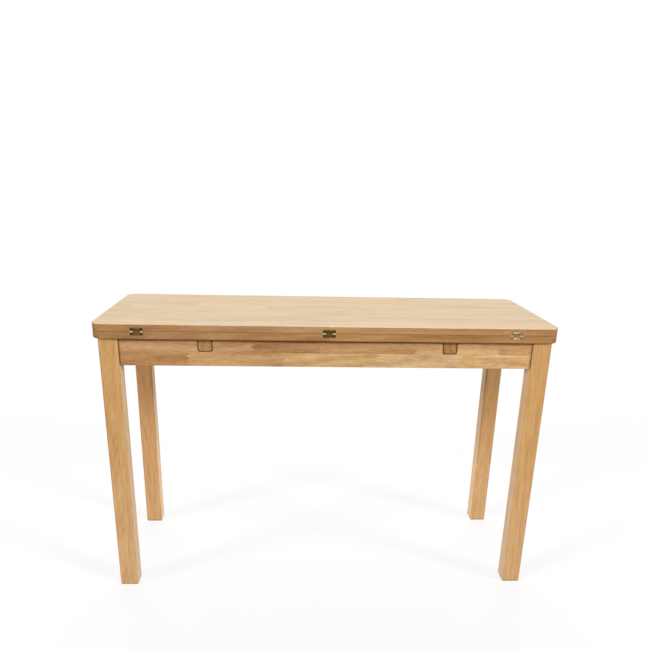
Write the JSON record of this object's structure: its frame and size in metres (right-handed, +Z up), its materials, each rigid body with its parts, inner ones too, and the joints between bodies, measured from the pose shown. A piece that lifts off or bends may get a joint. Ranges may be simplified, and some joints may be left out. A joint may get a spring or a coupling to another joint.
{
  "type": "fold-over extending dining table",
  "caption": "Light oak console table whose hinged upper leaf folds forward onto pull-out bars to make a dining table twice as deep.",
  "frame": {"origin": "on the floor under the centre of the closed table's bounding box", "axes": "+X to the right as seen from the hinge side, +Y from the hinge side to the back, +Z up"},
  "size_m": [1.2, 0.4528, 0.765],
  "materials": {
    "oak_top": "matt lacquered pale oak, grain along the table",
    "oak_frame": "satin oiled oak staves",
    "brass": "aged satin brass",
    "steel": "zinc-plated steel"
  },
  "bodies": {
    "frame": {"leg_back_right": "oak_frame", "corner_block_back_right": "oak_frame", "hanger_bolt_back_right": "steel", "bolt_nut_back_right": "steel", "leg_back_left": "oak_frame", "corner_block_back_left": "oak_frame", "hanger_bolt_back_left": "steel", "bolt_nut_back_left": "steel", "leg_front_left": "oak_frame", "corner_block_front_left": "oak_frame", "hanger_bolt_front_left": "steel", "bolt_nut_front_left": "steel", "leg_front_right": "oak_frame", "corner_block_front_right": "oak_frame", "hanger_bolt_front_right": "steel", "bolt_nut_front_right": "steel", "apron_front": "oak_frame", "apron_back": "oak_frame", "apron_left": "oak_frame", "apron_right": "oak_frame", "loper_guide_rail": "oak_frame", "lower_leaf": "oak_top", "hinge_left_lower_cup": "brass", "hinge_left_lower_pin": "brass", "hinge_middle_lower_cup": "brass", "hinge_middle_lower_pin": "brass", "hinge_right_lower_cup": "brass", "hinge_right_lower_pin": "brass"},
    "upper_leaf": {"upper_leaf": "oak_top", "hinge_left_upper_cup": "brass", "hinge_left_upper_pin": "brass", "hinge_middle_upper_cup": "brass", "hinge_middle_upper_pin": "brass", "hinge_right_upper_cup": "brass", "hinge_right_upper_pin": "brass"},
    "lower_links": {"hinge_left_lower_link_1": "brass", "hinge_left_lower_link_2": "brass", "hinge_left_lower_link_3": "brass", "hinge_left_slide_pin": "brass", "hinge_middle_lower_link_1": "brass", "hinge_middle_lower_link_2": "brass", "hinge_middle_lower_link_3": "brass", "hinge_middle_slide_pin": "brass", "hinge_right_lower_link_1": "brass", "hinge_right_lower_link_2": "brass", "hinge_right_lower_link_3": "brass", "hinge_right_slide_pin": "brass"},
    "upper_links": {"hinge_left_upper_link_1": "brass", "hinge_left_upper_link_2": "brass", "hinge_middle_upper_link_1": "brass", "hinge_middle_upper_link_2": "brass", "hinge_right_upper_link_1": "brass", "hinge_right_upper_link_2": "brass"},
    "loper_left": {"loper_left": "oak_frame", "loper_stop_left": "oak_frame"},
    "loper_right": {"loper_right": "oak_frame", "loper_stop_right": "oak_frame"}
  },
  "joints": [
    {"name": "leaf_fold", "type": "hinge", "parent": "frame", "child": "upper_leaf", "pos_m": [0, -0.22378, 0.74535], "axis": [1, 0, 0], "range_deg": [0, 180]},
    {"name": "lower_links_swing", "type": "hinge", "parent": "frame", "child": "lower_links", "pos_m": [0, -0.22082, 0.7424], "axis": [1, 0, 0], "range_deg": [0, 90]},
    {"name": "upper_links_swing", "type": "hinge", "parent": "upper_leaf", "child": "upper_links", "pos_m": [0, -0.22082, 0.7483], "axis": [1, 0, 0], "range_deg": [-90, 0]},
    {"name": "loper_left_slide", "type": "slide", "parent": "frame", "child": "loper_left", "axis": [0, -1, 0], "range_m": [0, 0.23]},
    {"name": "loper_right_slide", "type": "slide", "parent": "frame", "child": "loper_right", "axis": [0, -1, 0], "range_m": [0, 0.23]}
  ],
  "couplings": [
    {"joint": "lower_links_swing", "follows": "leaf_fold", "ratio": 0.5},
    {"joint": "upper_links_swing", "follows": "leaf_fold", "ratio": -0.5}
  ]
}
